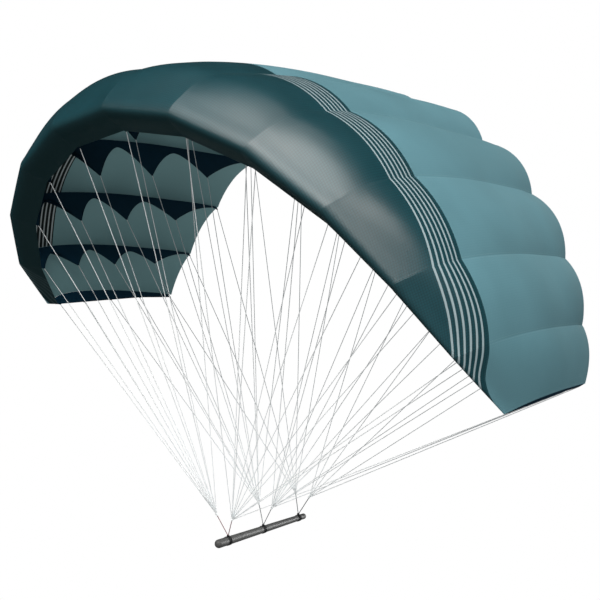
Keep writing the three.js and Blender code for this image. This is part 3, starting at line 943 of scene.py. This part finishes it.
def wrap_object(name, y):
    parts = []
    pitch = (WRAP_WIDTH - WRAP_CORD) / (WRAP_TURNS - 1)
    for turn in range(WRAP_TURNS):
        place = y - WRAP_WIDTH / 2 + WRAP_CORD / 2 + pitch * turn
        turn_radius = bar_radius(place) + WRAP_CORD * WRAP_SEAT_SHARE
        parts.append(cord_turn((0, place, 0), WRAP_TURN_ROTATION, turn_radius, WRAP_CORD / 2, WRAP_TURN_MESH))
    knob = (0, y, knob_height(y))
    turn_radius = KNOB - WRAP_CORD / 2
    for tilt in (-KNOB_TILT, KNOB_TILT):
        rotation = (pi / 2, tilt, KNOB_TWIST * tilt)
        parts.append(cord_turn(knob, rotation, turn_radius, WRAP_CORD * KNOB_CORD_SHARE, KNOB_TURN_MESH))
    parts.append(cord_core(knob, KNOB * KNOB_CORE_SHARE, KNOB_CORE_MESH))
    return joined(parts, name)


STRAND_SCALE = 700.0
STRAND_EDGE = (0.35, 0.65)
STRAND_SHARE = 0.7
STRAND_RELIEF = 0.0002
STRAND_STRENGTH = 0.6
BRAID_PATCH_SCALE = 14.0
BRAID_PATCH_SHARE = 0.3
BRAID_DETAIL = 2.0
BRAID_ROUGHNESS = 0.5
BRAID_ROUGHNESS_GAIN = 0.2
BRAID_SHINE = 0.3
LASHING_BLACK = tint(30, 33, 36)
LASHING_SHADE = tint(12, 14, 16)


def braid_finish(name, colour, shade):
    cord = Finish(name)
    strands = cord.noise(STRAND_SCALE, BRAID_DETAIL)
    patches = cord.noise(BRAID_PATCH_SCALE, BRAID_DETAIL)
    share = strands.between(*STRAND_EDGE) * STRAND_SHARE + patches * BRAID_PATCH_SHARE
    return cord.surface(
        Base_Color=cord.blend(share, shade, colour), Specular_IOR_Level=BRAID_SHINE,
        Roughness=BRAID_ROUGHNESS + patches * BRAID_ROUGHNESS_GAIN,
        Normal=cord.relief(strands, STRAND_RELIEF, STRAND_STRENGTH))


lashing = braid_finish("lashing_cord", LASHING_BLACK, LASHING_SHADE)
for station, wrap_y, _, _ in STATIONS:
    wrap = wrap_object(f"lashing_{station}", wrap_y)
    wrap.data.materials.append(lashing)
    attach(wrap, "root")
    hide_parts(f"wrap_{station}")

# Lines
# Thin braided white lines, sixty in all, each tied to one rib point and pulled straight by the wind's load.
# On each side rows A and B meet in a front knot, rows C and D in a middle knot, and the tail row in a rear
# knot.

LINE_DIAMETER = 0.0024
LINE_CLEARANCE = 0.0008
LINE_POINTS = 16
LINE_SIDE_STEPS = 2
DECLARED_LINES = 34
LINE_WHITE = tint(234, 239, 241)
LINE_SHADE = tint(215, 220, 223)
SIDES = (("right", 1), ("left", -1))


def towards(start, end, distance):
    way = end - start
    return start + way / np.linalg.norm(way) * distance


def on_side(place, sign):
    """A place on the right side, or its mirror image on the left."""
    return np.array((sign * place[0], place[1], place[2]))


def cord_object(name, start, end, diameter):
    curve = bpy.data.curves.new(name, "CURVE")
    curve.dimensions = "3D"
    curve.bevel_depth = diameter / 2
    curve.bevel_resolution = LINE_SIDE_STEPS
    curve.use_fill_caps = True
    spline = curve.splines.new("POLY")
    spline.points.add(LINE_POINTS - 1)
    for index, point in enumerate(spline.points):
        point.co = (*lerp(start, end, index / (LINE_POINTS - 1)), 1)
    piece = bpy.data.objects.new(name, curve)
    bpy.context.scene.collection.objects.link(piece)
    return piece


line_braid = braid_finish("line_braid", LINE_WHITE, LINE_SHADE)
lines = []
for station, _, knot_place, rows in STATIONS:
    for side, sign in SIDES:
        knot = on_side(knot_place, sign)
        for rib in ribs:
            if rib.u * sign < 0:
                continue
            for row in rows:
                reach, depth = rib.points[row]
                tip = rib.at(reach, depth + TAB_LENGTH)
                start = towards(tip, knot, LINE_CLEARANCE)
                line = cord_object(f"line_{row}_{rib.number:02d}", start, knot, LINE_DIAMETER)
                line.data.materials.append(line_braid)
                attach(line, "root")
                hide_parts(f"lines_{station}_{side}")
                lines.append((float(np.linalg.norm(knot - start)), line, start))
for length, line, start in sorted(lines, key=lambda item: -item[0])[:DECLARED_LINES]:
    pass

# Knots and leaders
# At each knot the lines of one fan loop through the end of a stronger leader, which runs down to the bar.
# The front pair is dull red, the middle pair grey and the rear pair dark grey, so that they are told apart.

LEADER_DIAMETER = 0.0028
LEADER_GAP = 0.0003
LEADER_COLOURS = {
    "front": (tint(150, 112, 116), tint(112, 78, 84)),
    "centre": (tint(124, 129, 132), tint(92, 97, 100)),
    "rear": (tint(88, 92, 96), tint(60, 64, 68)),
}
KNOT_RADIUS = 0.0036
KNOT_TURNS = 3
KNOT_PITCH_SHARE = 1.05
KNOT_CORD_SHARE = 0.62
KNOT_CORE_SINK_SHARE = 0.4
KNOT_TURN_MESH = (18, 8)
KNOT_CORE_MESH = (16, 10)


def knot_object(name, place, way):
    """A few tight turns of line around the top of a leader."""
    rotation = Vector(way.tolist()).to_track_quat("Z", "Y").to_euler()
    turn_radius = KNOT_RADIUS - LINE_DIAMETER / 2
    cord_radius = LINE_DIAMETER * KNOT_CORD_SHARE
    core_radius = KNOT_RADIUS - LINE_DIAMETER * KNOT_CORE_SINK_SHARE
    parts = []
    for turn in range(KNOT_TURNS):
        centre = place + way * (turn - (KNOT_TURNS - 1) / 2) * LINE_DIAMETER * KNOT_PITCH_SHARE
        parts.append(cord_turn(centre.tolist(), rotation, turn_radius, cord_radius, KNOT_TURN_MESH))
    parts.append(cord_core(place.tolist(), core_radius, KNOT_CORE_MESH))
    return joined(parts, name)


for station, wrap_y, knot_place, _ in STATIONS:
    leader_braid = braid_finish(f"leader_braid_{station}", *LEADER_COLOURS[station])
    knob = np.array((0.0, wrap_y, knob_height(wrap_y)))
    for side, sign in SIDES:
        knot = on_side(knot_place, sign)
        foot = towards(knob, knot, KNOB - LEADER_GAP)
        leader = cord_object(f"leader_cord_{station}_{side}", foot, knot, LEADER_DIAMETER)
        leader.data.materials.append(leader_braid)
        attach(leader, "root")
        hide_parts(f"leader_{station}_{side}")
        length = float(np.linalg.norm(knot - foot))
        knot_piece = knot_object(f"knot_{station}_{side}", knot, (knot - foot) / length)
        knot_piece.data.materials.append(line_braid)
        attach(knot_piece, "root")
        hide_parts(f"lines_{station}_{side}")

# Studio
# The wing flies free before a plain white ground, and its floor and wide round wall show to the camera alone.
# Soft far lamps light it from the front, above and behind, a broad one stands for the light off the floor,
# a small one picks out the bar, and a weak even light fills the shade.

FLOOR_Z = -0.9
FLOOR_SIDES = 64
WALL_SIDES = 48
WALL_RINGS = 24
GROUND_RADIUS = 40.0


def ground_finish():
    ground = Finish("white_ground")
    return ground.surface(
        Base_Color=tint(0, 0, 0), Roughness=1.0, Specular_IOR_Level=0.0, Emission_Color=(1, 1, 1, 1),
        Emission_Strength=1.0)


def shown_to_camera_only(piece):
    piece.visible_diffuse = False
    piece.visible_glossy = False
    piece.visible_transmission = False
    piece.visible_shadow = False


white = ground_finish()
bpy.ops.object.select_all(action="DESELECT")
bpy.ops.mesh.primitive_circle_add(
    vertices=FLOOR_SIDES, radius=GROUND_RADIUS, fill_type="NGON", location=(0, 0, FLOOR_Z))
studio_floor = bpy.context.active_object
studio_floor.name = "floor"
bpy.ops.object.select_all(action="DESELECT")
bpy.ops.mesh.primitive_uv_sphere_add(segments=WALL_SIDES, ring_count=WALL_RINGS, radius=GROUND_RADIUS)
studio_wall = bpy.context.active_object
studio_wall.name = "wall"
for ground in (studio_floor, studio_wall):
    ground.data.materials.append(white)
    shown_to_camera_only(ground)

FILL_STRENGTH = 0.32

fill_light = bpy.data.worlds.new("fill_light")
fill_light.use_nodes = True
fill_background = fill_light.node_tree.nodes["Background"]
fill_background.inputs["Color"].default_value = (1.0, 1.0, 1.0, 1.0)
fill_background.inputs["Strength"].default_value = FILL_STRENGTH
bpy.context.scene.world = fill_light
fill_light.cycles_visibility.glossy = False

LAMP_WARMTH = (1.0, 0.97, 0.93)
# Name, turn from the right side and height over the horizon in degrees, strength, width in degrees
LAMPS = (
    ("front_high_lamp", -90, 60, 1.6, 28),
    ("right_lamp", -40, 35, 1.15, 26),
    ("key_lamp", -60, 52, 0.8, 20),
    ("front_lamp", -95, 35, 0.45, 24),
    ("front_left_lamp", -115, 25, 0.25, 20),
    ("floor_lamp", -90, -75, 0.45, 100),
    ("rear_lamp", 100, 7, 0.2, 26),
    ("overhead_lamp", 70, 85, 0.25, 24),
)
BAR_LAMP_PLACE = (1.9, 2.6, 0.75)
BAR_LAMP_SIZE = (1.0, 0.6)
BAR_LAMP_POWER = 1.9
BAR_LAMP_SPREAD = radians(18)


def far_lamp(name, turn_angle, height_angle, strength, width):
    """Round soft lamp far away in a direction, mirrored in the cloth only where it is over the horizon."""
    turn, height = radians(turn_angle), radians(height_angle)
    towards_lamp = Vector((cos(turn) * cos(height), sin(turn) * cos(height), sin(height)))
    light = bpy.data.lights.new(name, "SUN")
    light.energy = strength
    light.color = LAMP_WARMTH
    light.angle = radians(width)
    lamp = bpy.data.objects.new(name, light)
    lamp.rotation_euler = towards_lamp.to_track_quat("Z", "Y").to_euler()
    lamp.visible_glossy = height_angle > 0
    bpy.context.scene.collection.objects.link(lamp)


for lamp_values in LAMPS:
    far_lamp(*lamp_values)

bar_light = bpy.data.lights.new("bar_lamp", "AREA")
bar_light.shape = "RECTANGLE"
bar_light.size, bar_light.size_y = BAR_LAMP_SIZE
bar_light.energy = BAR_LAMP_POWER
bar_light.spread = BAR_LAMP_SPREAD
bar_lamp = bpy.data.objects.new("bar_lamp", bar_light)
bar_lamp.location = BAR_LAMP_PLACE
bar_lamp.rotation_euler = Vector(BAR_LAMP_PLACE).to_track_quat("Z", "Y").to_euler()
bpy.context.scene.collection.objects.link(bar_lamp)
bpy.context.scene.view_settings.view_transform = "Standard"

CAMERA_PLACE = (2.466, -3.114, 1.381)
CAMERA_RIGHT = (0.7822, 0.6169, 0.0877)
CAMERA_UP = (-0.1572, 0.0591, 0.9858)
CAMERA_AHEAD = (-0.6029, 0.7848, -0.1432)
CAMERA_LENS = 72
CAMERA_SENSOR = 36
CAMERA_REACH = 200

camera = bpy.data.objects.new("camera", bpy.data.cameras.new("camera"))
camera.data.lens = CAMERA_LENS
camera.data.sensor_width = CAMERA_SENSOR
camera.data.clip_end = CAMERA_REACH
camera_turn = Matrix((CAMERA_RIGHT, CAMERA_UP, -Vector(CAMERA_AHEAD))).transposed()
camera.matrix_world = Matrix.Translation(CAMERA_PLACE) @ camera_turn.to_4x4()
bpy.context.scene.collection.objects.link(camera)
bpy.context.scene.camera = camera
